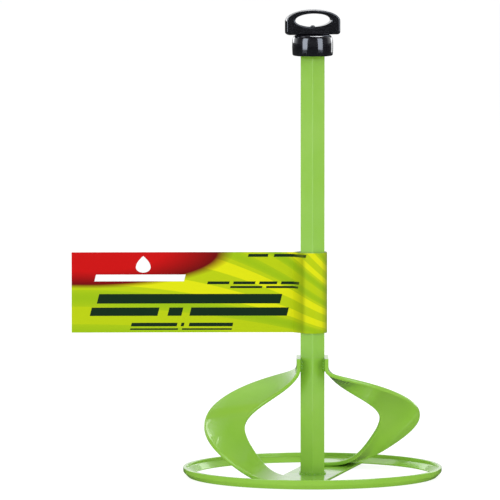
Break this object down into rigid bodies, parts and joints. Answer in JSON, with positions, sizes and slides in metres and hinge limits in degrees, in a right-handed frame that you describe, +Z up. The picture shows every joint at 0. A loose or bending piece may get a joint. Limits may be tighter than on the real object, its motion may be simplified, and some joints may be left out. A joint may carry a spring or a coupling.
{
  "type": "drill paint mixer",
  "caption": "Hexagonal bar with helical strip blades welded to a cross strip and a ring, a push-on hanging cap and a folded card round the bar.",
  "frame": {"origin": "centre of the underside of the cross strip, on the floor that the mixer stands on", "axes": "+Z up along the bar towards the cap, +X towards the right-hand blade's tab, +Y towards the back, where the right-hand blade's foot is"},
  "size_m": [0.186, 0.13, 0.235],
  "materials": {
    "green_paint": "gloss enamel",
    "weld_paint": "gloss enamel over weld beads",
    "black_plastic": "moulded, glossy",
    "printed_card": "coated, satin gloss",
    "glue": "double-sided tape, matt"
  },
  "bodies": {
    "mixer": {"shaft": "green_paint", "cross_strip": "green_paint", "ring": "green_paint", "blade_right": "green_paint", "blade_left": "green_paint", "shaft_foot_weld": "weld_paint", "blade_top_weld_right": "weld_paint", "blade_top_weld_left": "weld_paint", "blade_foot_weld_right": "weld_paint", "blade_foot_weld_left": "weld_paint", "ring_weld_front": "weld_paint", "ring_weld_back": "weld_paint", "ring_seam_weld": "weld_paint"},
    "hanging_cap": {"cap": "black_plastic"},
    "folded_card": {"card_sleeve": "printed_card", "glue_strip": "glue"}
  },
  "joints": [
    {"name": "cap_pull", "type": "slide", "parent": "mixer", "child": "hanging_cap", "axis": [0, 0, 1], "range_m": [0, 0.03]},
    {"name": "card_slide", "type": "slide", "parent": "mixer", "child": "folded_card", "axis": [0, 0, 1], "range_m": [-0.011, 0.098]}
  ]
}
